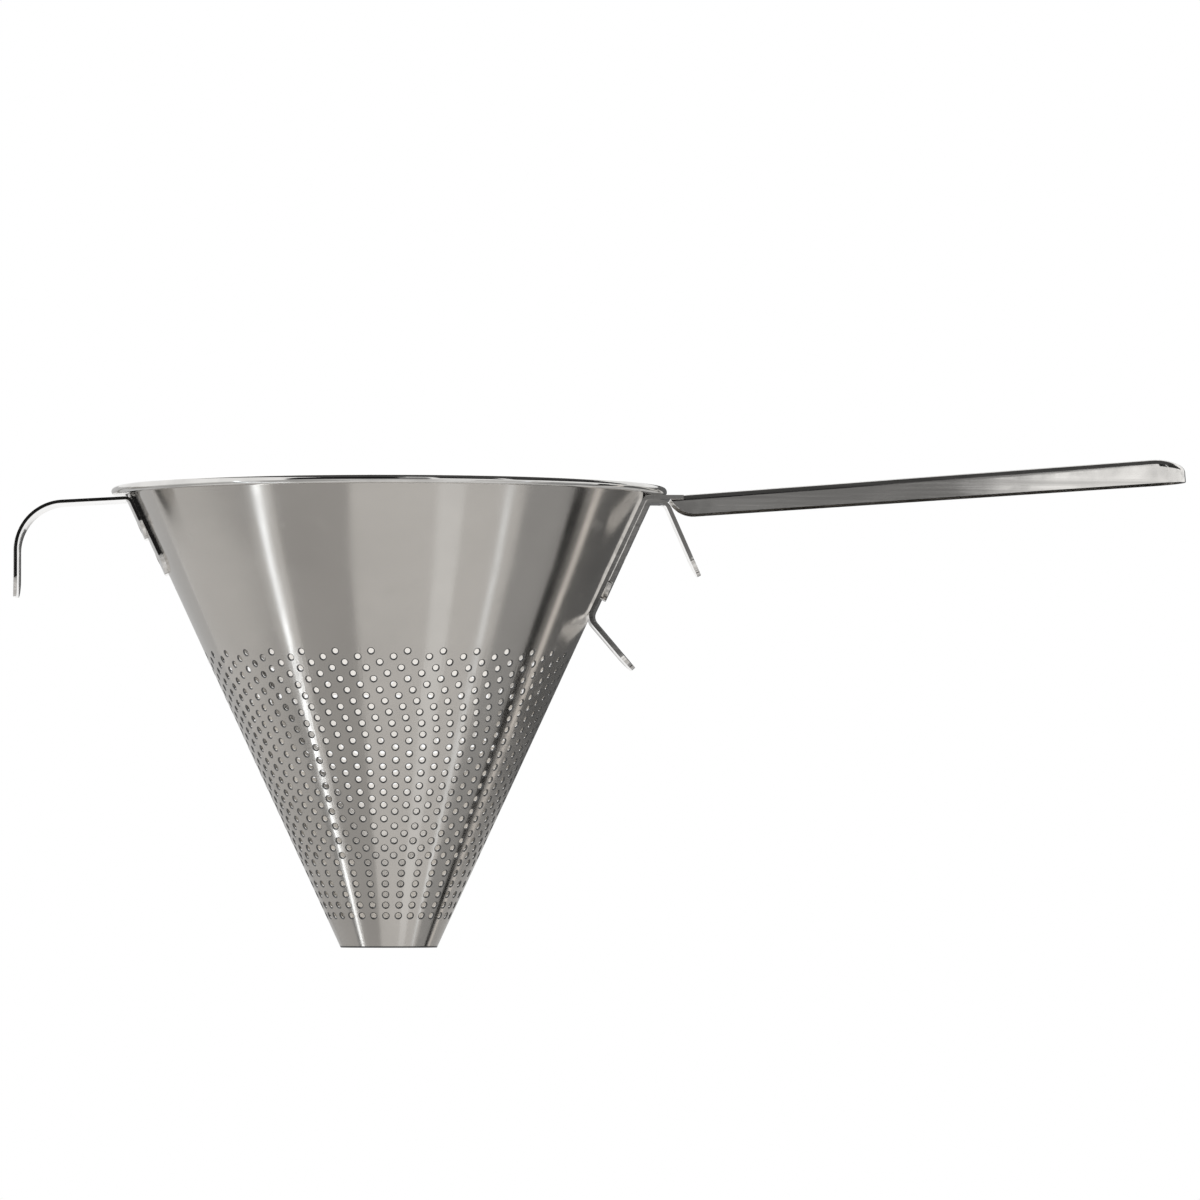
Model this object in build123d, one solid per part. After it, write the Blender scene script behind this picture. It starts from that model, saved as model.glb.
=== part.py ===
from build123d import *
import math
import os

# Chinois strainer: a perforated cone of stainless sheet with a wired, rolled rim,
# a channel handle on one side and a bent pot hook on the other.
# The origin is on the cone's axis, in the plane that bears on a pot's rim.
# +Z is up and +X runs out along the handle. Lengths are in millimetres.

# Cone sheet
sheet_gauge = 0.6
base_radius = 17.3  # outside of the cut bottom edge
base_depth = 159.5  # pot seat down to the bottom edge
seam_width = 1.2  # butt joint of the rolled sheet, filled with weld

# Rolled rim
rim_radius = 100.0  # outside of the roll
rim_roll_width = 7.6  # wall to the outside of the roll
rim_wire_diameter = 1.7
rim_shoulder_radius = 2.0
rim_lip_gap = 2.2  # mouth between the wall and the turned-in edge
wire_clearance = 0.03

# Perforation, from the top ring down
hole_diameter = 2.3
holes_per_ring = 32
first_ring_depth = 54.8  # pot seat down to the top ring
fine_pitch = 1.94
middle_pitch = 2.26
coarse_pitch = 2.59
tip_pitch = 3.78
fine_steps = 15
middle_steps = 12
coarse_steps = 7
tip_steps = 5
first_hole_angle = -95.4  # degrees from the handle
first_shift_share = 0.38  # of the angle between holes, from ring to ring
shift_growth_share = 0.006
full_shift_share = 0.5
seam_margin = 0.9  # plain metal left beside the seam weld
outline_points = 8  # of each hole's edge

# Base disc
base_gauge = 0.8
base_flange_height = 5.0
base_corner_radius = 1.2
base_clearance = 0.02
drain_hole_diameter = 2.3
drain_ring_pitch = 4.6
drain_rings = 3
drain_holes_per_step = 6
base_weld_leg = 0.9

# Handle: channel, tongue under the rim, leg on the cone and lower pot rest
handle_gauge = 1.4
handle_width = 26.0
channel_length = 182.0
tongue_run = 5.0  # outside of the roll to where the channel starts to rise
handle_rise = 4.35  # degrees
handle_root_depth = 7.0  # of the flanges
handle_tip_depth = 8.6
handle_edge_radius = 2.6
handle_root_lead = 4.0  # the flanges start this far before the rise
handle_root_run = 9.0
handle_nose_length = 12.8
handle_nose_drop = 3.6
handle_nose_radius = 11.0  # corners of the tip, seen from above
hang_hole_diameter = 7.0
hang_hole_inset = 18.0  # from the tip
handle_leg_depth = 41.4  # pot seat down to the bend of the lower rest
rest_length = 24.1
rest_dip = 49.9  # degrees below level
strap_bend_radius = 1.8  # inside of a tight bend
rest_bend_radius = 3.6
strap_corner_radius = 7.0

# Pot stop strap, under the tongue and over the leg
stop_gauge = 1.4
stop_width = 20.0
stop_leg_gap = 4.0  # above the bend of the lower rest
stop_overhang = 0.4  # outside of the roll to the corner of the upper rest
stop_length = 29.5
stop_dip = 66.4  # degrees below level
stop_bend_radius = 3.2

# Front hook and its backing plate
plate_gauge = 1.4
plate_width = 30.0
plate_depth = 25.2  # pot seat down to its lower end
plate_tuck = 1.2  # how far it reaches up into the rim's mouth
hook_gauge = 1.2
hook_width = 30.0
hook_leg_depth = 12.6
hook_rim_gap = 0.7  # under the roll, at the leg's bend
hook_overhang = 35.0  # outside of the roll to the outside of the drop
hook_slope = 3.1  # degrees below level
hook_drop = 33.6  # pot seat down to the tip
hook_bend_radius = 18.0

# Plug welds, in rows at shares of each leg's depth
plug_diameter = 4.0
plug_spread = 11.0  # between the two columns
handle_plug_shares = (0.31, 0.72)
stop_plug_shares = (0.22, 0.56)
plate_plug_shares = (0.14, 0.78)
hook_plug_shares = (0.63,)
plug_sink = 0.12  # how far a plug's face lies below the strap's

cut_overrun = 3.0

# Derived
rim_underside = handle_gauge + stop_gauge
roll_radius = rim_wire_diameter / 2 + sheet_gauge
rim_top = rim_underside + 2 * roll_radius
wall_rise = base_depth + rim_underside
wall_run = (rim_radius - rim_roll_width - base_radius) / wall_rise
slope = math.atan(wall_run)  # between the wall and the axis
apex_z = -base_depth - base_radius / wall_run
handle_heel = rim_radius + tongue_run
stop_reach = rim_radius + stop_overhang
hook_reach = rim_radius + hook_overhang
rest_turn = math.pi / 2 + slope - math.radians(rest_dip)
rest_bend_run = (rest_bend_radius + handle_gauge) * math.tan(rest_turn / 2)
stop_leg_depth = handle_leg_depth - rest_bend_run * math.cos(slope) - stop_leg_gap


def wall_radius(z, outset=0.0):
    """Radius of the surface that lies outset outside the cone's outer face."""
    return (z - apex_z) * wall_run + outset / math.cos(slope)


def band(path, gauge, side=Side.RIGHT):
    """Section between a path, drawn as (radius, height), and its parallel, gauge away."""
    outline = Wire(path.edges()).offset_2d(gauge, side=side, closed=True)
    return Plane.XZ * make_face(outline.edges())


def ring(section):
    return revolve(section, Axis.Z).solid()


def on_cone(slant, angle, depth):
    """Point below the wall's outer face: slant from the apex, at an angle about the axis."""
    radius = slant * math.sin(slope) - depth * math.cos(slope)
    z = apex_z + slant * math.cos(slope) + depth * math.sin(slope)
    return Vector(radius * math.cos(angle), radius * math.sin(angle), z)


def below(point, angle, length):
    """Point at a length from another, outwards, at an angle in degrees below level."""
    turn = math.radians(angle)
    return (point[0] + length * math.cos(turn), point[1] - length * math.sin(turn))


def corner_cutters(tip, before, width):
    """Solids that round the two corners of a strap's end, which runs from before to tip."""
    run = Vector(tip[0] - before[0], 0, tip[1] - before[1]).normalized()
    face = Plane((tip[0], 0, tip[1]), x_dir=run, z_dir=run.cross(Vector(0, 1, 0)))
    size = strap_corner_radius + cut_overrun
    square = Rectangle(size, size, align=(Align.MIN, Align.MIN))
    corner = square - Circle(strap_corner_radius)
    corner = Pos(-strap_corner_radius, width / 2 - strap_corner_radius) * corner
    outline = corner + mirror(corner, Plane.XZ)
    return extrude(face * outline, 2 * cut_overrun, both=True).solids()


def strap(points, radii, gauge, width, tips):
    """Strap along a path, on its right: turned about the axis, then cut to its width.

    Each of the tips is a pair of points: a rounded end, and the point before it.
    """
    path = FilletPolyline(*points, radius=radii) if radii else Line(*points)
    reaches = [x for x, z in points]
    turn = 2 * math.degrees(math.asin((width / 2 + cut_overrun) / min(reaches)))
    swept = revolve(band(path, gauge), Axis.Z, turn).rotate(Axis.Z, -turn / 2)
    body = swept & Box(3 * max(reaches), width, 2 * (base_depth + rim_top))
    cutters = []
    for tip, before in tips:
        cutters += corner_cutters(tip, before, width)
    return body.cut(*cutters).solid()


def plug_drills(depths):
    """Drills square to the wall, on the handle's side: two columns, a row at each depth."""
    drills = []
    for depth in depths:
        for side in (-1, 1):
            angle = side * math.asin(plug_spread / 2 / wall_radius(-depth))
            out = Vector(math.cos(angle), math.sin(angle), -wall_run).normalized()
            start = on_cone((-depth - apex_z) / math.cos(slope), angle, cut_overrun)
            plane = Plane(start, z_dir=out)
            drills.append(Solid.make_cylinder(plug_diameter / 2, 4 * cut_overrun, plane))
    return drills


def plugged(body, outset, gauge, leg_depth, shares):
    """(strap with its weld holes, weld plugs): a layer that lies outset off the cone."""
    depths = [share * leg_depth for share in shares]
    drills = plug_drills(depths)
    low = -max(depths) - plug_diameter
    high = -min(depths) + plug_diameter
    edge = Line((wall_radius(low, outset), low), (wall_radius(high, outset), high))
    layer = ring(band(edge, gauge - plug_sink))
    plugs = [(layer & drill).solid() for drill in drills]
    return body.cut(*drills).solid(), plugs


def turned_to_front(solid):
    return solid.rotate(Axis.Z, 180)


def cone_section():
    """Section of the sheet: wall, shoulder, roll and turned-in lip."""
    skin = -sheet_gauge
    roll_x = rim_radius - roll_radius
    foot = (wall_radius(-base_depth, skin), -base_depth)
    shoulder = (wall_radius(rim_top, skin), rim_top)
    roll_top = (roll_x, rim_top)
    roll_out = (rim_radius, rim_top - roll_radius)
    roll_low = (roll_x, rim_underside)
    lip = (wall_radius(rim_underside, rim_lip_gap), rim_underside)
    wall = FilletPolyline(foot, shoulder, roll_top, radius=rim_shoulder_radius)
    roll = ThreePointArc(roll_top, roll_out, roll_low)
    path = wall.edges() + roll.edges() + Line(roll_low, lip).edges()
    below_foot = Pos(0, 0, -base_depth - cut_overrun)
    trim = below_foot * Box(2 * rim_radius, cut_overrun, 2 * cut_overrun)
    return (band(Wire(path), sheet_gauge) - trim).face()


def ring_heights():
    """Heights of the hole rings, from the top one down to the base disc's flange."""
    pitches = (
        [fine_pitch] * fine_steps
        + [middle_pitch] * middle_steps
        + [coarse_pitch] * coarse_steps
        + [tip_pitch] * tip_steps
    )
    heights = [-first_ring_depth]
    for pitch in pitches:
        heights.append(heights[-1] - pitch)
    lowest = -base_depth + base_flange_height + base_weld_leg + hole_diameter
    return [z for z in heights if z > lowest]


def hole_places():
    """(slant, angle) of each hole. A hole that would meet the seam is left out."""
    step = 2 * math.pi / holes_per_ring
    places = []
    turned = math.radians(first_hole_angle)
    staggered = fine_steps + middle_steps + coarse_steps
    for number, z in enumerate(ring_heights()):
        for hole in range(holes_per_ring):
            angle = turned + hole * step
            across = wall_radius(z) * math.sin(angle)
            clear = (seam_width + hole_diameter) / 2 + seam_margin
            if math.cos(angle) < 0 or abs(across) > clear:
                places.append(((z - apex_z) / math.cos(slope), angle))
        if number < staggered:
            grown = first_shift_share + shift_growth_share * number
            turned -= step * min(grown, full_shift_share)
    return places


def hole_edge(slant, angle, depth):
    """Closed edge of one hole in the face that lies depth below the outer face."""
    radius = hole_diameter / 2
    points = []
    for number in range(outline_points):
        turn = 2 * math.pi * number / outline_points
        along = slant + radius * math.cos(turn)
        about = angle + radius * math.sin(turn) / (slant * math.sin(slope))
        points.append(on_cone(along, about, depth))
    return Wire([Edge.make_spline(points, periodic=True)])


def perforated(blank):
    """The rolled sheet with its wall's two faces pierced, and each hole lined."""
    wall_faces = blank.faces().filter_by(GeomType.CONE).sort_by(SortBy.AREA)[-2:]
    inside, outside = wall_faces
    outer_edges, inner_edges, linings = [], [], []
    for slant, angle in hole_places():
        outer_edges.append(hole_edge(slant, angle, 0))
        inner_edges.append(hole_edge(slant, angle, sheet_gauge))
        lining = Face.make_surface_from_curves(outer_edges[-1], inner_edges[-1])
        linings += lining.faces()
    rest = [f for f in blank.faces() if f not in (inside, outside)]
    pierced = [outside.make_holes(outer_edges), inside.make_holes(inner_edges)]
    skins = Face.sew_faces(rest + pierced + linings)
    return Solid(Shell(skins[0]))


def cone_and_seam():
    """(sheet, seam weld): the rolled ring, parted at the seam on the handle's side."""
    whole = ring(cone_section())
    height = 2 * (base_depth + rim_top)
    joint = Pos(rim_radius, 0, 0) * Box(2 * rim_radius, seam_width, height)
    return perforated((whole - joint).solid()), (whole & joint).solid()


def rim_wire():
    section = Circle(rim_wire_diameter / 2 - wire_clearance)
    middle = Pos(rim_radius - roll_radius, rim_underside + roll_radius)
    return ring(Plane.XZ * (middle * section))


def base_disc():
    """Flanged disc in the bottom of the cone, with its drain holes."""
    gap = -sheet_gauge - base_clearance
    rim = -base_depth + base_flange_height
    path = FilletPolyline(
        (0, -base_depth),
        (wall_radius(-base_depth, gap), -base_depth),
        (wall_radius(rim, gap), rim),
        radius=base_corner_radius,
    )
    drill = Solid.make_cylinder(drain_hole_diameter / 2, 2 * cut_overrun)
    drill = Pos(0, 0, -base_depth - cut_overrun) * drill
    holes = [drill]
    for number in range(1, drain_rings):
        count = drain_holes_per_step * number
        out = Pos(number * drain_ring_pitch, 0, 0) * drill
        holes += [out.rotate(Axis.Z, 360 * turn / count) for turn in range(count)]
    return ring(band(path, base_gauge, Side.LEFT)).cut(*holes).solid()


def base_weld():
    """Fillet weld inside the cone, on top of the base disc's flange."""
    flange_top = -base_depth + base_flange_height + base_gauge * math.sin(slope)
    foot = flange_top + base_clearance
    corner = wall_radius(foot, -sheet_gauge)
    top = foot + base_weld_leg
    points = [
        (corner - base_weld_leg, foot),
        (corner, foot),
        (wall_radius(top, -sheet_gauge), top),
    ]
    return ring(Plane.XZ * make_face(Polyline(*points, close=True)))


def channel_bar(inset, start, low, tip_low):
    """Solid bar in the channel's own rising frame, inset on the top, the sides and the tip."""
    end = channel_length - inset
    flat_end = end - handle_nose_length
    tip_top = (end, -inset - handle_nose_drop)
    nose = TangentArc((flat_end, -inset), tip_top, tangent=(1, 0))
    sole = Polyline(tip_top, (end, tip_low), (start, low), (start, -inset), (flat_end, -inset))
    side_view = Plane.XZ * make_face(nose.edges() + sole.edges())
    bar = extrude(side_view, handle_width / 2 - inset, both=True).solid()
    corners = bar.edges().filter_by(Axis.Z).sort_by(Axis.X)[-2:]
    bar = fillet(corners, handle_nose_radius - inset).solid()
    lowest = -inset - handle_nose_drop - handle_gauge / 2
    upper = [
        edge
        for edge in bar.edges().filter_by(Axis.Z, reverse=True)
        if edge.center().Z > lowest
        and (abs(edge.center().Y) > handle_gauge or edge.center().X > end - handle_gauge)
    ]
    return fillet(upper, handle_edge_radius - inset).solid()


def channel():
    """Pressed channel of the handle, open below, with its hanging hole."""
    below_all = -handle_tip_depth - cut_overrun
    start = -handle_root_lead
    before = start - cut_overrun
    hollow = channel_bar(handle_gauge, before, below_all, below_all)
    bar = channel_bar(0, start, -handle_root_depth, -handle_tip_depth)
    fall = (handle_tip_depth - handle_root_depth) / (channel_length - start)
    foot = (start + handle_root_run, -handle_root_depth - fall * handle_root_run)
    head = (start, -handle_gauge)
    fade = TangentArc(foot, head, tangent=(-1, fall))
    beyond = Polyline(head, (before, -handle_gauge), (before, below_all), (foot[0], below_all), foot)
    root = extrude(Plane.XZ * make_face(fade.edges() + beyond.edges()), handle_width, both=True)
    drill = Solid.make_cylinder(hang_hole_diameter / 2, 2 * cut_overrun)
    drill = Pos(channel_length - hang_hole_inset, 0, -cut_overrun) * drill
    upright = (bar - hollow - root - drill).solid()
    return Pos(handle_heel, 0, rim_underside) * Rot(0, -handle_rise, 0) * upright


def handle_and_plugs():
    """(handle, weld plugs): channel, tongue, leg and lower pot rest in one piece."""
    bend = (wall_radius(-handle_leg_depth), -handle_leg_depth)
    tip = below(bend, rest_dip, rest_length)
    top = (wall_radius(rim_underside), rim_underside)
    end = (handle_heel + handle_gauge, rim_underside)
    radii = [rest_bend_radius + handle_gauge, strap_bend_radius + handle_gauge]
    leg = strap([tip, bend, top, end], radii, handle_gauge, handle_width, [(tip, bend)])
    drilled, plugs = plugged(leg, 0, handle_gauge, handle_leg_depth, handle_plug_shares)
    return (drilled + channel()).solid(), plugs


def stop_strap_and_plugs():
    """(strap, weld plugs): under the handle's tongue, over its leg, with the upper pot rest."""
    upper = rim_underside - handle_gauge
    foot = (wall_radius(-stop_leg_depth, handle_gauge), -stop_leg_depth)
    top = (wall_radius(upper, handle_gauge), upper)
    corner = (stop_reach, upper)
    tip = below(corner, stop_dip, stop_length)
    radii = [strap_bend_radius, stop_bend_radius + stop_gauge]
    tips = [(foot, top), (tip, corner)]
    body = strap([foot, top, corner, tip], radii, stop_gauge, stop_width, tips)
    return plugged(body, handle_gauge, stop_gauge, stop_leg_depth, stop_plug_shares)


def plate_and_plugs():
    """(backing plate, weld plugs), still on the handle's side."""
    foot = (wall_radius(-plate_depth), -plate_depth)
    high = rim_underside + plate_tuck
    top = (wall_radius(high), high)
    body = strap([foot, top], None, plate_gauge, plate_width, [(foot, top)])
    return plugged(body, 0, plate_gauge, plate_depth, plate_plug_shares)


def hook_and_plugs():
    """(pot hook, weld plugs), still on the handle's side."""
    foot = (wall_radius(-hook_leg_depth, plate_gauge), -hook_leg_depth)
    high = rim_underside - hook_rim_gap
    top = (wall_radius(high, plate_gauge), high)
    fall = (hook_reach - top[0]) * math.tan(math.radians(hook_slope))
    corner = (hook_reach, high - fall)
    tip = (hook_reach, -hook_drop)
    radii = [strap_bend_radius + hook_gauge, hook_bend_radius]
    tips = [(foot, top), (tip, corner)]
    body = strap([foot, top, corner, tip], radii, hook_gauge, hook_width, tips)
    return plugged(body, plate_gauge, hook_gauge, hook_leg_depth, hook_plug_shares)


def write_node(name, *solids):
    shape = solids[0] if len(solids) == 1 else Compound(solids)
    export_step(shape, f"parts/{name}.step", write_pcurves=False)
    print(name, len(solids), "solids", round(sum(s.volume for s in solids), 1), "mm3")


os.makedirs("parts", exist_ok=True)

handle_body, handle_plugs = handle_and_plugs()
stop_body, stop_plugs = stop_strap_and_plugs()
plate_body, plate_plugs = plate_and_plugs()
hook_body, hook_plugs = hook_and_plugs()
cone_sheet, seam_weld = cone_and_seam()

write_node("cone_sheet", cone_sheet)
write_node("cone_seam_weld", seam_weld)
write_node("rim_wire", rim_wire())
write_node("base_disc", base_disc())
write_node("base_weld", base_weld())
write_node("handle", handle_body)
write_node("handle_leg_welds", *handle_plugs)
write_node("pot_stop_strap", stop_body)
write_node("stop_strap_welds", *stop_plugs)
write_node("front_backing_plate", turned_to_front(plate_body))
write_node("backing_plate_welds", *[turned_to_front(p) for p in plate_plugs])
write_node("front_pot_hook", turned_to_front(hook_body))
write_node("pot_hook_welds", *[turned_to_front(p) for p in hook_plugs])
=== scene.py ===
import math
import bpy
from mathutils import Matrix, Vector


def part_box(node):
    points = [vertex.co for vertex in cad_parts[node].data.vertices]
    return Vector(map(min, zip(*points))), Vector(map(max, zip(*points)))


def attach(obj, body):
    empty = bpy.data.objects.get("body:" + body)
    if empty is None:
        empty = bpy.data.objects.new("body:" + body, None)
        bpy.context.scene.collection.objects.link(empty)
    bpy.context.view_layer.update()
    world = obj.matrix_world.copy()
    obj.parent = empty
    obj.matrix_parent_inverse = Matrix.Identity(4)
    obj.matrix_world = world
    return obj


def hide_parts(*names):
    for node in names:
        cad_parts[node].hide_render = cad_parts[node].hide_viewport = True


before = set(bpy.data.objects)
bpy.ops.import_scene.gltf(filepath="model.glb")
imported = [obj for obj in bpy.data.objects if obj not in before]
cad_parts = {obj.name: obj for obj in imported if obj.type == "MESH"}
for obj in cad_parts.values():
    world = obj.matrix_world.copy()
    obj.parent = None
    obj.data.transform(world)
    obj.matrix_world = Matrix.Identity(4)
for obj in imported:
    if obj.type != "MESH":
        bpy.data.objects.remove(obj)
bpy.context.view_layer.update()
print("frame loaded:", len(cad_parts), "nodes")

# Sizes of the rolled cone, in metres, that its holes, finish and studio cards follow
cone = {
    "gauge": 0.0006,
    "rimRadius": 0.1,
    "rollWidth": 0.0076,  # wall to the outside of the roll
    "rollUnderside": 0.0028,
    "baseRadius": 0.0173,
    "bottom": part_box("cone_sheet")[0].z,
    "top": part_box("cone_sheet")[1].z,
}
wallRun = cone["rimRadius"] - cone["rollWidth"] - cone["baseRadius"]
wallRun /= cone["rollUnderside"] - cone["bottom"]
slope = math.atan(wallRun)  # between the wall and the axis
apex = cone["bottom"] - cone["baseRadius"] / wallRun
mergeGap = 1e-6  # points closer than this are one


def wallRadius(height, outset=0.0):  # of the wall's outer face, or of one level with it
    return (height - apex) * wallRun + outset / math.cos(slope)


def wallNormal(angle):  # outwards, at an angle round the axis
    level = math.cos(slope)
    return Vector((math.cos(angle) * level, math.sin(angle) * level, -math.sin(slope)))


# Work on selections

def clearSelection():
    if bpy.context.mode != 'OBJECT':
        bpy.ops.object.mode_set(mode='OBJECT')
    bpy.ops.object.select_all(action='DESELECT')


def pick(*pieces):
    clearSelection()
    for piece in pieces:
        piece.select_set(True)
    bpy.context.view_layer.objects.active = pieces[0]


def settle(piece):  # place and turn go into the mesh
    pick(piece)
    bpy.ops.object.transform_apply(location=True, rotation=True, scale=True)


def applyModifier(piece, name, kind, **settings):
    pick(piece)
    modifier = piece.modifiers.new(name, kind)
    for key, value in settings.items():
        setattr(modifier, key, value)
    bpy.ops.object.modifier_apply(modifier=name)


def smooth(piece, degrees):
    pick(piece)
    bpy.ops.object.shade_smooth_by_angle(angle=math.radians(degrees))


def giveFinishes(mesh, *names):
    mesh.materials.clear()
    for name in names:
        mesh.materials.append(finish[name])


def finishPiece(piece, name, node):
    piece.name = name
    piece.data.name = name
    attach(piece, "root")
    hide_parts(node)
    print("made", name, len(piece.data.polygons), "faces")


def arcPoints(centre, radius, start, end, count):  # angles in degrees
    points = []
    for number in range(count + 1):
        turn = math.radians(start + (end - start) * number / count)
        points.append((centre[0] + radius * math.cos(turn), centre[1] + radius * math.sin(turn)))
    return points


def drawSection(points):  # closed outline in the plane y = 0, drawn by extruding one point along it
    clearSelection()
    bpy.ops.mesh.primitive_plane_add(size=cone["gauge"], location=(0, 0, 0))
    section = bpy.context.object
    bpy.ops.object.mode_set(mode='EDIT')
    bpy.ops.mesh.select_mode(type='VERT')
    bpy.ops.mesh.select_all(action='SELECT')
    bpy.ops.mesh.merge(type='CENTER')
    bpy.ops.transform.translate(value=(points[0][0], 0, points[0][1]))
    for last, point in zip(points, points[1:] + points[:1]):
        step = (point[0] - last[0], 0, point[1] - last[1])
        bpy.ops.mesh.extrude_region_move(TRANSFORM_OT_translate={"value": step})
    bpy.ops.mesh.select_all(action='SELECT')
    bpy.ops.mesh.remove_doubles(threshold=mergeGap)
    return section


# Cone sheet: wall, rolled rim and punched holes
coneSheet = {
    "steps": 256,  # facets round the rim
    "rollRadius": 0.00145,
    "rollSteps": (9, 14),  # inside, outside
    "rollInset": 0.00003,  # keeps the roll within the rim
    "shoulder": 0.002,  # bend between wall and rim
    "shoulderSteps": (4, 5),
    "lipGap": 0.0022,  # mouth of the roll, from the wall
    "edgeRound": 0.00026,
    "edgeSlantShare": 0.4,
    "edgeBand": 0.0006,  # band along the bottom edge, which takes the same dark steel as the hole mouths
    "bandRows": 5,  # rows of faces down the perforated band
    "plainRows": 2,
    "plainMargin": 0.004,  # over the first ring of holes
    "smoothAngle": 20,
    "flareShares": (0.3, 0.97),  # between a bore's face, across the normal, and the wall's own
    "holeSides": 14,
    "holeRadius": 0.001,
    "dimpleRadius": 0.00146,  # where the drawn-in edge of a hole begins
    "dimpleDepth": 0.00024,
    "throatRadius": 0.00107,
    "throatDepth": 0.00038,
    "drillOver": 0.0004,  # the cut runs on past both faces
    "seamWidth": 0.0012,
    "seamMargin": 0.0009,
}
perforation = {
    "holesPerRing": 32,
    "firstDepth": 0.0548,
    "pitches": ((0.00194, 15), (0.00226, 12), (0.00259, 7), (0.00378, 5)),  # step down, how many times
    "staggered": 34,  # rings that are turned from the last
    "firstAngle": -95.4,
    "firstShiftShare": 0.38,  # shifts are shares of the step round a ring
    "shiftGrowthShare": 0.006,
    "fullShiftShare": 0.5,
}


def sheetSection(values):
    gauge = cone["gauge"]
    underside = cone["rollUnderside"]
    top = cone["top"]
    rise = 90 - math.degrees(slope)  # the wall above level
    corner = wallRadius(top, -gauge)
    run = values["shoulder"] * math.tan(math.radians(rise / 2))
    shoulder = (corner + run, top - values["shoulder"])
    rollRadius = values["rollRadius"]
    roll = (cone["rimRadius"] - rollRadius - values["rollInset"], top - rollRadius)
    lip = wallRadius(underside, values["lipGap"])
    low = cone["bottom"]
    bandTop = values["plainMargin"] - perforation["firstDepth"]
    rows = [low + (bandTop - low) * k / values["bandRows"] for k in range(1, values["bandRows"] + 1)]
    plain = shoulder[1] - bandTop - values["shoulder"]
    rows += [bandTop + plain * k / values["plainRows"] for k in range(1, values["plainRows"])]
    bend = 90 + rise
    edge = values["edgeRound"]
    slant = edge * values["edgeSlantShare"]
    band = low + values["edgeBand"]
    shoulderSteps, rollSteps = values["shoulderSteps"], values["rollSteps"]
    # outer face of the wall and the inside of the roll, to its lip
    points = [(wallRadius(low, -slant), low), (wallRadius(low + edge), low + edge), (wallRadius(band), band)]
    points += [(wallRadius(z), z) for z in rows]
    points += arcPoints(shoulder, values["shoulder"] - gauge, bend, 90, shoulderSteps[0])
    points += arcPoints(roll, rollRadius - gauge, 90, -90, rollSteps[0])
    points += [(lip + edge, underside + gauge), (lip, underside + gauge - edge)]
    # the roll's outside and the inner face of the wall
    points += [(lip, underside + edge), (lip + edge, underside)]
    points += arcPoints(roll, rollRadius, -90, 90, rollSteps[1])
    points += arcPoints(shoulder, values["shoulder"], 90, bend, shoulderSteps[1])
    points += [(wallRadius(z, -gauge), z) for z in reversed(rows)]
    points += [(wallRadius(low + edge, -gauge), low + edge), (wallRadius(low, slant - gauge), low)]
    return points


def holePlaces():  # height and angle of every hole, from the top ring down
    step = 2 * math.pi / perforation["holesPerRing"]
    clear = coneSheet["seamWidth"] / 2 + coneSheet["holeRadius"] + coneSheet["seamMargin"]
    pitches = [pitch for pitch, count in perforation["pitches"] for _ in range(count)]
    height = -perforation["firstDepth"]
    turned = math.radians(perforation["firstAngle"])
    places = []
    for number in range(len(pitches) + 1):
        for hole in range(perforation["holesPerRing"]):
            angle = turned + hole * step
            across = wallRadius(height) * math.sin(angle)
            if math.cos(angle) < 0 or abs(across) > clear:
                places.append((height, angle))
        if number < perforation["staggered"]:
            shift = perforation["firstShiftShare"] + perforation["shiftGrowthShare"] * number
            turned -= step * min(shift, perforation["fullShiftShare"])
        if number < len(pitches):
            height -= pitches[number]
    return places


def makeDrill(values):  # the shape that one hole takes out of the sheet, its flared mouth upwards
    over = values["drillOver"]
    widening = (values["dimpleRadius"] - values["throatRadius"]) / values["dimpleDepth"]
    mouth = values["dimpleRadius"] + over * widening
    clearSelection()
    bpy.ops.mesh.primitive_circle_add(
        vertices=values["holeSides"], radius=mouth, fill_type='NGON', location=(0, 0, over)
    )
    drill = bpy.context.object
    bpy.ops.object.transform_apply(location=True)
    bpy.ops.object.mode_set(mode='EDIT')
    bpy.ops.mesh.select_all(action='SELECT')
    levels = [
        (values["throatRadius"], -values["dimpleDepth"]),
        (values["holeRadius"], -values["throatDepth"]),
        (values["holeRadius"], -cone["gauge"] - over),
    ]
    radius, height = mouth, over
    for nextRadius, nextHeight in levels:
        bpy.ops.mesh.extrude_region_move(TRANSFORM_OT_translate={"value": (0, 0, nextHeight - height)})
        share = nextRadius / radius
        bpy.ops.transform.resize(value=(share, share, 1))
        radius, height = nextRadius, nextHeight
    bpy.ops.mesh.select_all(action='SELECT')
    bpy.ops.mesh.normals_make_consistent(inside=False)
    bpy.ops.object.mode_set(mode='OBJECT')
    return drill


def makePunch(values):  # all the drills and the seam's slot, joined to one cutting shape
    drill = makeDrill(values)
    drills = []
    for height, angle in holePlaces():
        each = drill.copy()
        each.data = drill.data.copy()
        radius = wallRadius(height)
        place = Vector((radius * math.cos(angle), radius * math.sin(angle), height))
        turn = wallNormal(angle).to_track_quat('Z', 'Y').to_matrix().to_4x4()
        each.matrix_world = Matrix.Translation(place) @ turn
        bpy.context.collection.objects.link(each)
        drills.append(each)
    bpy.data.objects.remove(drill)
    length = 3 * cone["rimRadius"]
    bpy.ops.mesh.primitive_cube_add(size=1, location=(length / 2, 0, 0))
    slot = bpy.context.object
    slot.scale = (length, values["seamWidth"], 2 * length)
    settle(slot)
    pick(slot, *drills)
    bpy.ops.object.join()
    return bpy.context.object


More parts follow.
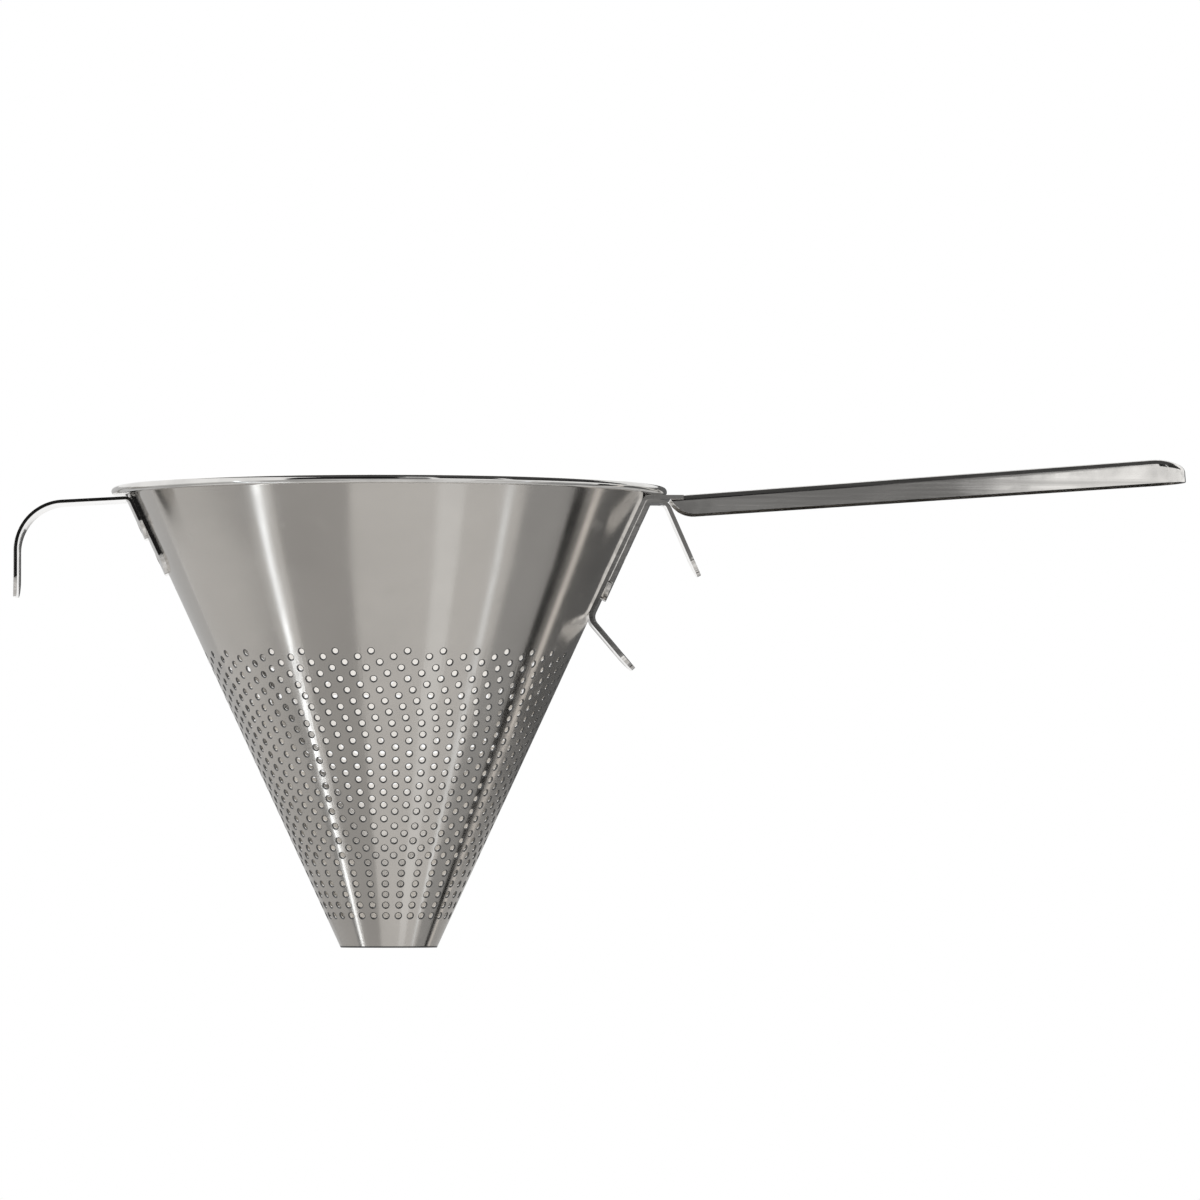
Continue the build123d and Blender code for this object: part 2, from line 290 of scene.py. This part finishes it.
def giveConeFinishes(sheet, values):
    giveFinishes(sheet.data, "sheet", "holeShade", "rolled")
    flareLow, flareHigh = values["flareShares"]
    wallDepth = cone["gauge"] / math.cos(slope)
    for face in sheet.data.polygons:
        centre = face.center
        facing = abs(face.normal.dot(wallNormal(math.atan2(centre.y, centre.x))))
        depth = wallRadius(centre.z) - math.hypot(centre.x, centre.y)
        inWall = centre.z < cone["rollUnderside"] and mergeGap < depth < wallDepth - mergeGap
        flared = inWall and flareLow < facing < flareHigh
        bored = inWall and facing <= flareLow
        bottomBand = centre.z < cone["bottom"] + values["edgeBand"]
        rolled = centre.z > cone["rollUnderside"] - mergeGap and depth < -values["shoulder"] / 2
        # slot 1, the dark painted-shade steel, goes on the flared hole mouths and on the bottom edge band
        face.material_index = 1 if flared or bottomBand else 2 if rolled or bored else 0


def makeConeSheet(values):
    sheet = drawSection(sheetSection(values))
    bpy.ops.mesh.select_all(action='SELECT')
    bpy.ops.mesh.spin(
        steps=values["steps"], angle=2 * math.pi, center=(0, 0, 0), axis=(0, 0, 1), use_auto_merge=True
    )
    bpy.ops.mesh.select_all(action='SELECT')
    bpy.ops.mesh.remove_doubles(threshold=mergeGap)
    bpy.ops.mesh.normals_make_consistent(inside=False)
    bpy.ops.object.mode_set(mode='OBJECT')
    punch = makePunch(values)
    applyModifier(sheet, "holes", 'BOOLEAN', object=punch, operation='DIFFERENCE', solver='MANIFOLD')
    bpy.data.objects.remove(punch)
    giveConeFinishes(sheet, values)
    smooth(sheet, values["smoothAngle"])
    finishPiece(sheet, "perforated_cone", "cone_sheet")


# Finishes
grainRange = (0.3, 0.7)  # where most of a noise lies
grains = {  # lines per metre, or for each turn round the axis
    "round": 6.0,
    "up": 2600.0,
    "bandRound": 1.3,
    "bandsUp": 55.0,
    "along": 30.0,
    "across": 2200.0,
}
handling = {
    "smudges": 28.0,
    "smudgeRange": (0.42, 0.68),
    "spots": 140.0,
    "spotRange": (0.66, 0.74),
}


def put(tree, kind, inputs=None, **settings):  # a node with its inputs set or linked
    made = tree.nodes.new(kind)
    for key, value in settings.items():
        setattr(made, key, value)
    for name, value in (inputs or {}).items():
        if isinstance(value, bpy.types.NodeSocket):
            tree.links.new(value, made.inputs[name])
        else:
            made.inputs[name].default_value = value
    return made


def reckon(tree, operation, *values):
    return put(tree, 'ShaderNodeMath', dict(enumerate(values)), operation=operation).outputs[0]


def spread(tree, value, low, high, newLow=0.0, newHigh=1.0):  # moves a value from one range to another
    inputs = {"Value": value, "From Min": low, "From Max": high, "To Min": newLow, "To Max": newHigh}
    return put(tree, 'ShaderNodeMapRange', inputs).outputs[0]


def roughen(tree, line, values):  # roughness that follows a grain's lines
    low = values["roughness"]
    return spread(tree, line, *grainRange, low, low + values["roughSpread"])


def blendColours(tree, share, first, second):
    return put(tree, 'ShaderNodeMix', {0: share, 6: first, 7: second}, data_type='RGBA').outputs[2]


def addBump(tree, shader, height, strength, depth):
    bump = put(tree, 'ShaderNodeBump', {"Height": height, "Strength": strength, "Distance": depth})
    tree.links.new(bump.outputs[0], shader.inputs["Normal"])


def newGroup(name, inputs, outputs):
    tree = bpy.data.node_groups.new(name, 'ShaderNodeTree')
    for label, value in inputs.items():
        socket = tree.interface.new_socket(name=label, in_out='INPUT', socket_type='NodeSocketFloat')
        socket.default_value = value
    for label in outputs:
        tree.interface.new_socket(name=label, in_out='OUTPUT', socket_type='NodeSocketFloat')
    entry = tree.nodes.new('NodeGroupInput')
    leave = tree.nodes.new('NodeGroupOutput')
    return tree, entry.outputs, leave.inputs


def noise(tree, vector, scale=1.0, detail=2.0, rough=0.5):
    inputs = {"Vector": vector, "Scale": scale, "Detail": detail, "Roughness": rough}
    return put(tree, 'ShaderNodeTexNoise', inputs).outputs["Fac"]


def buildTurnedGrain():  # brush lines that run round the cone's axis
    inputs = {"Round": grains["round"], "Up": grains["up"], "Bands": grains["bandsUp"]}
    tree, given, result = newGroup("turnedGrain", inputs, ("Line", "Band"))
    place = put(tree, 'ShaderNodeTexCoord').outputs["Object"]
    parts = put(tree, 'ShaderNodeSeparateXYZ', {0: place}).outputs
    flat = put(tree, 'ShaderNodeCombineXYZ', {0: parts[0], 1: parts[1]}).outputs[0]
    aim = put(tree, 'ShaderNodeVectorMath', {0: flat}, operation='NORMALIZE').outputs[0]
    aimParts = put(tree, 'ShaderNodeSeparateXYZ', {0: aim}).outputs
    fine = put(tree, 'ShaderNodeCombineXYZ', {
        0: reckon(tree, 'MULTIPLY', aimParts[0], given["Round"]),
        1: reckon(tree, 'MULTIPLY', aimParts[1], given["Round"]),
        2: reckon(tree, 'MULTIPLY', parts[2], given["Up"]),
    }).outputs[0]
    broad = put(tree, 'ShaderNodeCombineXYZ', {
        0: reckon(tree, 'MULTIPLY', aimParts[0], grains["bandRound"]),
        1: reckon(tree, 'MULTIPLY', aimParts[1], grains["bandRound"]),
        2: reckon(tree, 'MULTIPLY', parts[2], given["Bands"]),
    }).outputs[0]
    tree.links.new(noise(tree, fine, detail=3.0, rough=0.6), result["Line"])
    tree.links.new(noise(tree, broad), result["Band"])
    return tree


def buildDrawnGrain():  # polishing lines that run along X, as on a strap
    inputs = {"Along": grains["along"], "Across": grains["across"]}
    tree, given, result = newGroup("drawnGrain", inputs, ("Line",))
    place = put(tree, 'ShaderNodeTexCoord').outputs["Object"]
    parts = put(tree, 'ShaderNodeSeparateXYZ', {0: place}).outputs
    fine = put(tree, 'ShaderNodeCombineXYZ', {
        0: reckon(tree, 'MULTIPLY', parts[0], given["Along"]),
        1: reckon(tree, 'MULTIPLY', parts[1], given["Across"]),
        2: reckon(tree, 'MULTIPLY', parts[2], given["Across"]),
    }).outputs[0]
    tree.links.new(noise(tree, fine, rough=0.6), result["Line"])
    return tree


def buildHandling():  # smudges and dried water marks
    inputs = {"Smudges": handling["smudges"], "Spots": handling["spots"]}
    tree, given, result = newGroup("handling", inputs, ("Smudge", "Spot"))
    place = put(tree, 'ShaderNodeTexCoord').outputs["Object"]
    smudge = noise(tree, place, given["Smudges"], detail=3.0, rough=0.55)
    spot = noise(tree, place, given["Spots"], detail=1.0)
    tree.links.new(spread(tree, smudge, *handling["smudgeRange"]), result["Smudge"])
    tree.links.new(spread(tree, spot, *handling["spotRange"]), result["Spot"])
    return tree


groups = {"turned": buildTurnedGrain(), "drawn": buildDrawnGrain(), "handling": buildHandling()}


def useGroup(tree, name, **inputs):
    made = tree.nodes.new('ShaderNodeGroup')
    made.node_tree = groups[name]
    for key, value in inputs.items():
        made.inputs[key].default_value = value
    return made.outputs


def newSteel(name, values):  # plain numbers stand on the shader itself
    material = bpy.data.materials.new(name)
    material.use_nodes = True
    shader = material.node_tree.nodes["Principled BSDF"]
    shader.inputs["Metallic"].default_value = 1.0
    shader.inputs["Base Color"].default_value = (*values["colour"], 1)
    shader.inputs["Roughness"].default_value = values["roughness"]
    shader.inputs["Anisotropic"].default_value = values.get("anisotropic", 0.0)
    shader.inputs["Anisotropic Rotation"].default_value = values.get("turn", 0.0)
    return material, material.node_tree, shader


def blendShade(tree, share, values):  # from the metal's colour to a darker shade of it
    shade = [channel * values["shade"] for channel in values["colour"]]
    return blendColours(tree, share, (*values["colour"], 1), (*shade, 1))


brushedSheet = {
    "colour": (0.63, 0.605, 0.57),
    "shade": 0.9,
    "smudgeShare": 0.6,
    "bandShare": 0.7,
    "roughness": 0.165,
    "roughSpread": 0.035,
    "spotRoughness": 0.05,
    "anisotropic": 0.85,
    "turn": 0.25,
    "grainDepth": 0.00002,
    "grainStrength": 0.35,
}


def makeBrushedSheet(values):
    material, tree, shader = newSteel("brushedSheetSteel", values)
    grain = useGroup(tree, "turned")
    marks = useGroup(tree, "handling")
    smudge = reckon(tree, 'MULTIPLY', marks["Smudge"], values["smudgeShare"])
    band = reckon(tree, 'MULTIPLY', grain["Band"], values["bandShare"])
    colour = blendShade(tree, reckon(tree, 'ADD', smudge, band), values)
    tree.links.new(colour, shader.inputs["Base Color"])
    middle, reach = values["roughness"], values["roughSpread"]
    rough = spread(tree, grain["Band"], *grainRange, middle - reach, middle + reach)
    spot = reckon(tree, 'MULTIPLY', marks["Spot"], values["spotRoughness"])
    tree.links.new(reckon(tree, 'ADD', rough, spot), shader.inputs["Roughness"])
    tangent = put(tree, 'ShaderNodeTangent', direction_type='RADIAL', axis='Z').outputs[0]
    tree.links.new(tangent, shader.inputs["Tangent"])
    addBump(tree, shader, grain["Line"], values["grainStrength"], values["grainDepth"])
    return material


# Nearly black steel for the flared hole mouths and the bottom edge band: painted shade, standing in for the
# dark ring of shade round each hole
holeMouthShade = {"colour": (0.14, 0.14, 0.14), "roughness": 0.36, "roughSpread": 0.12, "smudges": 900.0}


def makeHoleMouthShade(values):
    material, tree, shader = newSteel("paintedHoleShadeSteel", values)
    marks = useGroup(tree, "handling", Smudges=values["smudges"])
    low = values["roughness"]
    rough = spread(tree, marks["Smudge"], 0.0, 1.0, low, low + values["roughSpread"])
    tree.links.new(rough, shader.inputs["Roughness"])
    return material


polishedStrap = {
    "colour": (0.82, 0.8, 0.77),
    "shade": 0.72,
    "lineAlong": 9.0,
    "lineAcross": 420.0,
    "lineRange": (0.4, 0.62),
    "smudges": 60.0,
    "roughness": 0.05,
    "roughSpread": 0.05,
    "smudgeRoughness": 0.04,
    "grainDepth": 0.00001,
    "grainStrength": 0.3,
}


def makePolishedStrap(values):
    material, tree, shader = newSteel("polishedStrapSteel", values)
    grain = useGroup(tree, "drawn")
    broad = useGroup(tree, "drawn", Along=values["lineAlong"], Across=values["lineAcross"])
    marks = useGroup(tree, "handling", Smudges=values["smudges"])
    line = spread(tree, broad["Line"], *values["lineRange"])
    colour = blendShade(tree, reckon(tree, 'MAXIMUM', marks["Smudge"], line), values)
    tree.links.new(colour, shader.inputs["Base Color"])
    smudge = reckon(tree, 'MULTIPLY', marks["Smudge"], values["smudgeRoughness"])
    rough = reckon(tree, 'ADD', roughen(tree, grain["Line"], values), smudge)
    tree.links.new(rough, shader.inputs["Roughness"])
    addBump(tree, shader, grain["Line"], values["grainStrength"], values["grainDepth"])
    return material


weldMetal = {
    "colour": (0.5, 0.49, 0.47),
    "scorched": (0.36, 0.31, 0.25, 1),
    "smudges": 420.0,
    "roughness": 0.38,
    "roughSpread": 0.15,
    "ripples": 1500.0,
    "rippleDepth": 0.00006,
    "rippleStrength": 0.6,
}


def makeWeldMetal(values):
    material, tree, shader = newSteel("weldMetal", values)
    marks = useGroup(tree, "handling", Smudges=values["smudges"])
    place = put(tree, 'ShaderNodeTexCoord').outputs["Object"]
    colour = blendColours(tree, marks["Smudge"], (*values["colour"], 1), values["scorched"])
    tree.links.new(colour, shader.inputs["Base Color"])
    low = values["roughness"]
    rough = spread(tree, marks["Smudge"], 0.0, 1.0, low, low + values["roughSpread"])
    tree.links.new(rough, shader.inputs["Roughness"])
    ripple = noise(tree, place, values["ripples"])
    addBump(tree, shader, ripple, values["rippleStrength"], values["rippleDepth"])
    return material


turnedSteel = {"round": 90.0, "up": 3000.0, "smudges": 70.0, "shade": 0.86}
rimSteel = {"colour": (0.6, 0.6, 0.59), "roughness": 0.25, "roughSpread": 0.1, **turnedSteel}
rolledEdge = {"colour": (0.74, 0.73, 0.71), "roughness": 0.05, "roughSpread": 0.05, **turnedSteel}


def makeTurnedSteel(name, values):
    material, tree, shader = newSteel(name, values)
    grain = useGroup(tree, "turned", Round=values["round"], Up=values["up"])
    marks = useGroup(tree, "handling", Smudges=values["smudges"])
    tree.links.new(blendShade(tree, marks["Smudge"], values), shader.inputs["Base Color"])
    tree.links.new(roughen(tree, grain["Line"], values), shader.inputs["Roughness"])
    return material


finish = {
    "sheet": makeBrushedSheet(brushedSheet),
    "holeShade": makeHoleMouthShade(holeMouthShade),
    "strap": makePolishedStrap(polishedStrap),
    "weld": makeWeldMetal(weldMetal),
    "wire": makeTurnedSteel("rimWireSteel", rimSteel),
    "rolled": makeTurnedSteel("rolledEdgeSteel", rolledEdge),
}
print("finishes ready:", len(finish))

makeConeSheet(coneSheet)


# Straps, with the edges of their sheared strip broken
edgeBreak = {
    "width": 0.00022,
    "segments": 2,
    "limitAngle": 35,
    "flatAngle": 0.6,
    "mergeGap": 2e-6,
    "flatWeight": 100,  # large faces decide the shading
}
straps = {
    "handle": "channel_handle",
    "pot_stop_strap": "stop_strap",
    "front_backing_plate": "backing_plate",
    "front_pot_hook": "pot_hook",
}


def breakEdges(node, name, values):
    strap = bpy.data.objects.new(name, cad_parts[node].data.copy())
    bpy.context.collection.objects.link(strap)
    pick(strap)
    bpy.ops.object.mode_set(mode='EDIT')
    bpy.ops.mesh.select_mode(type='VERT')
    bpy.ops.mesh.select_all(action='SELECT')
    bpy.ops.mesh.remove_doubles(threshold=values["mergeGap"])
    bpy.ops.mesh.dissolve_limited(angle_limit=math.radians(values["flatAngle"]))
    bpy.ops.object.mode_set(mode='OBJECT')
    limit = math.radians(values["limitAngle"])
    applyModifier(strap, "brokenEdge", 'BEVEL', width=values["width"], segments=values["segments"],
                  limit_method='ANGLE', angle_limit=limit)
    smooth(strap, values["limitAngle"])
    applyModifier(strap, "flatFaces", 'WEIGHTED_NORMAL', mode='FACE_AREA', weight=values["flatWeight"],
                  keep_sharp=True)
    giveFinishes(strap.data, "strap")
    finishPiece(strap, name, node)


for node, name in straps.items():
    breakEdges(node, name, edgeBreak)

# Pieces that keep the CAD's shape
plainFinish = {
    "cone_seam_weld": "weld",
    "rim_wire": "wire",
    "base_disc": "sheet",
    "base_weld": "weld",
    "handle_leg_welds": "weld",
    "stop_strap_welds": "weld",
    "backing_plate_welds": "weld",
    "pot_hook_welds": "weld",
}
for node, name in plainFinish.items():
    giveFinishes(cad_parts[node].data, name)
print("plain pieces finished:", len(plainFinish))


# Studio: pale floor far below, white surround, cards and lamps
studio = {
    "floorDrop": 1.3,
    "floorSize": 7.0,
    "floorColour": (0.8, 0.79, 0.78, 1),
    "floorRoughness": 0.6,
    "surround": 0.7,  # light from all round
    "cardHeight": -0.06,  # the height on the wall that the cards are aimed from
    "panelGauge": 0.02,
    "mouthCardRadius": 0.088,  # lights the inside of the cone
    "mouthCardHeight": 0.02,
    "mouthCardGlow": 1.4,
    "mouthCardSides": 64,
}


def makeFloor(values):
    clearSelection()
    bpy.ops.mesh.primitive_plane_add(size=values["floorSize"], location=(0, 0, -values["floorDrop"]))
    floor = bpy.context.object
    floor.name = "floor"
    material = bpy.data.materials.new("paleFloor")
    material.use_nodes = True
    shader = material.node_tree.nodes["Principled BSDF"]
    shader.inputs["Base Color"].default_value = values["floorColour"]
    shader.inputs["Roughness"].default_value = values["floorRoughness"]
    floor.data.materials.append(material)


def makeSurround(values):
    world = bpy.data.worlds.new("surround")
    bpy.context.scene.world = world
    world.use_nodes = True
    tree = world.node_tree
    background = tree.nodes["Background"]
    path = put(tree, 'ShaderNodeLightPath').outputs
    seen = reckon(tree, 'MAXIMUM', path["Is Camera Ray"], path["Is Glossy Ray"])
    seen = reckon(tree, 'MAXIMUM', seen, path["Is Transmission Ray"])
    tree.links.new(spread(tree, seen, 0.0, 1.0, values["surround"], 1.0), background.inputs["Strength"])
    background.inputs["Color"].default_value = (1, 1, 1, 1)


def hangCard(name, angle, halfAngle, far, low, high, height):  # the cone's wall mirrors it as a stripe
    side = math.radians(angle)
    normal = wallNormal(side - math.pi / 2)
    sight = Vector((0, 1, 0))
    out = sight - 2 * sight.dot(normal) * normal
    radius = wallRadius(height)
    start = Vector((radius * math.sin(side), -radius * math.cos(side), height))
    wallLine = Vector((math.sin(slope) * math.sin(side), -math.sin(slope) * math.cos(side), math.cos(slope)))
    across = wallLine.cross(out).normalized()
    upright = out.cross(across).normalized()
    width = 2 * far * math.tan(math.radians(2 * math.cos(slope) * halfAngle))
    clearSelection()
    bpy.ops.mesh.primitive_plane_add(size=1)
    card = bpy.context.object
    card.name = name
    turn = Matrix((across, upright, across.cross(upright))).transposed().to_4x4()
    size = Matrix.Diagonal((width, high - low, 1, 1))
    middle = start + out * far + upright * ((low + high) / 2 - height)
    card.matrix_world = Matrix.Translation(middle) @ turn @ size
    return card


def paintCard(card, grey, warmth=0.0):
    material = bpy.data.materials.new(card.name)
    material.use_nodes = True
    tree = material.node_tree
    tree.nodes.remove(tree.nodes["Principled BSDF"])
    colour = (1 + warmth, 1, 1 - warmth, 1)
    glow = put(tree, 'ShaderNodeEmission', {"Color": colour, "Strength": grey})
    tree.links.new(glow.outputs[0], tree.nodes["Material Output"].inputs["Surface"])
    card.data.materials.append(material)
    card.visible_camera = False
    card.visible_diffuse = False
    card.visible_shadow = False


# Cards that the wall mirrors: angle to the right of the camera, half width, grey, warmth, distance,
# and the lowest and highest height on the wall that shows them
cards = {
    "leftEndCard": (-76, 10.0, 0.55, 0.0, 1.35, -0.6, 0.5),
    "leftLowCard": (-60, 24, 0.45, 0.01, 1.3, -0.6, -0.11),
    "leftLineCard": (-35.0, 1.6, 0.18, -0.03, 0.97, -0.6, -0.07),
    "streakCard": (-31.5, 0.7, 2.1, -0.05, 0.9, -0.045, 0.5),
    "streakLowCard": (-31.5, 0.7, 3.5, -0.05, 0.9, -0.6, -0.045),
    "leftGreyCard": (-18.5, 8.7, 0.43, 0.015, 1.2, -0.6, 0.5),
    "middleCard": (14.5, 3.0, 0.85, 0.0, 1.1, -0.6, 0.5),
    "rightStreakCard": (28.5, 0.8, 1.1, -0.03, 0.9, -0.6, 0.5),
    "rightGreyCard": (39.5, 6.5, 0.38, 0.0, 1.25, -0.6, 0.5),
    "rightDarkCard": (67, 20, 0.12, 0.0, 1.3, -0.1, 0.5),
    "rightLowCard": (67, 20, 0.52, 0.01, 1.3, -0.6, -0.1),
    "rightEndCard": (82, 8, 0.12, 0.0, 1.25, -0.1, 0.5),
    "darkLineCard": (48.7, 2.3, 0.02, 0.0, 0.95, -0.6, 0.5),
    "pinkCard": (54.5, 1.3, 0.8, 0.05, 0.95, -0.3, 0.5),
}
# Panels in front of the object, over it and at its right: low corner, high corner, grey
panels = {
    "darkCurtain": ((-3.2, -3.5, -0.45), (0.25, -3.5, 3.6), 0.015),
    "greyCurtain": ((0.25, -3.5, -0.45), (0.46, -3.5, 3.6), 0.2),
    "handleBoard": ((0.1, -1.0, -0.3), (0.287, -1.0, 0.6), 0.24),
    "rightCurtain": ((1.3, -3.5, 0.7), (3.9, -3.5, 3.6), 0.02),
    "greyFrontBoard": ((-3.2, -3.5, -1.29), (0.46, -3.5, -0.45), 0.45),
    "darkCeiling": ((-2.2, -3.5, 3.6), (3.9, 3.0, 3.6), 0.07),
    "darkSide": ((3.9, -3.0, 0.7), (3.9, 2.0, 3.6), 0.04),
}


def makeCards(values):
    for name, (angle, halfAngle, grey, warmth, distance, low, high) in cards.items():
        card = hangCard(name, angle, halfAngle, distance, low, high, values["cardHeight"])
        paintCard(card, grey, warmth)


def makePanels(values):
    for name, (low, high, grey) in panels.items():
        clearSelection()
        bpy.ops.mesh.primitive_cube_add(size=1)
        panel = bpy.context.object
        panel.name = name
        middle = (Vector(low) + Vector(high)) / 2
        size = [max(second - first, values["panelGauge"]) for first, second in zip(low, high)]
        panel.matrix_world = Matrix.Translation(middle) @ Matrix.Diagonal((*size, 1))
        paintCard(panel, grey)


def makeMouthCard(values):
    clearSelection()
    bpy.ops.mesh.primitive_circle_add(
        vertices=values["mouthCardSides"],
        radius=values["mouthCardRadius"],
        fill_type='NGON',
        location=(0, 0, values["mouthCardHeight"]),
    )
    card = bpy.context.object
    card.name = "mouthCard"
    paintCard(card, values["mouthCardGlow"])


# Name, place, width and power of each lamp
lamps = (
    ("overheadLamp", (-0.5, -0.7, 1.5), 1.2, 14.0),
    ("rightLamp", (1.6, -0.6, 0.9), 0.8, 6.0),
)


def aimed(place, target):  # at a place, and turned to look at a target
    away = Vector(place) - Vector(target)
    return Matrix.Translation(place) @ away.to_track_quat('Z', 'Y').to_matrix().to_4x4()


def makeLamps():
    for name, place, size, power in lamps:
        data = bpy.data.lights.new(name, 'AREA')
        data.size = size
        data.energy = power
        lamp = bpy.data.objects.new(name, data)
        lamp.matrix_world = aimed(place, (0, 0, 0))
        lamp.visible_glossy = False  # lights the object, but isn't mirrored
        bpy.context.scene.collection.objects.link(lamp)


view = {
    "place": (0.0082, -2.9424, -0.1385),
    "aim": (0.0759, 0.0, -0.0345),
    "lens": 245.4,
    "sensor": 36.0,
}


def makeCamera(values):
    data = bpy.data.cameras.new("camera")
    data.lens = values["lens"]
    data.sensor_width = values["sensor"]
    camera = bpy.data.objects.new("camera", data)
    camera.matrix_world = aimed(values["place"], values["aim"])
    bpy.context.scene.collection.objects.link(camera)
    bpy.context.scene.camera = camera


makeFloor(studio)
makeSurround(studio)
makeCards(studio)
makePanels(studio)
makeMouthCard(studio)
makeLamps()
makeCamera(view)
bpy.context.scene.view_settings.view_transform = 'Standard'
print("studio ready")

clearSelection()
